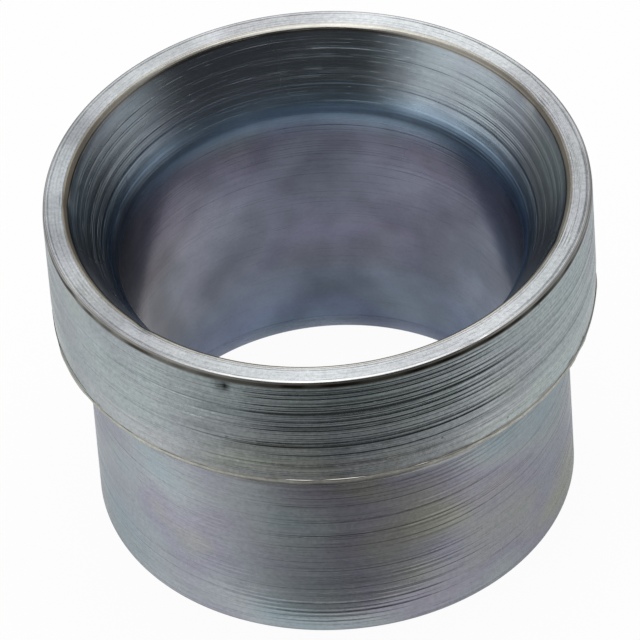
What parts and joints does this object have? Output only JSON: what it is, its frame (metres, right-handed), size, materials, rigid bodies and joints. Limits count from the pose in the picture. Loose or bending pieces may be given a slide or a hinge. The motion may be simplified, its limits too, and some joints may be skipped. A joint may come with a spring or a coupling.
{
  "type": "tube fitting ferrule",
  "caption": "Turned steel ferrule for a tube or hose fitting: a short sleeve with a wider head, a conical mouth for a flared end and a smooth through bore, zinc plated.",
  "frame": {"origin": "on the sleeve's axis, in the plane of the narrow end that it stands on", "axes": "+Z along the axis from the narrow end up to the open mouth; X and Y are free, as the part is round"},
  "size_m": [0.0173, 0.0172, 0.0119],
  "materials": {
    "zinc_plated_steel": "turned, then zinc plated with a clear passivate that leaves faint rainbow tints"
  },
  "bodies": {
    "root": {"ferrule": "zinc_plated_steel"}
  },
  "joints": []
}
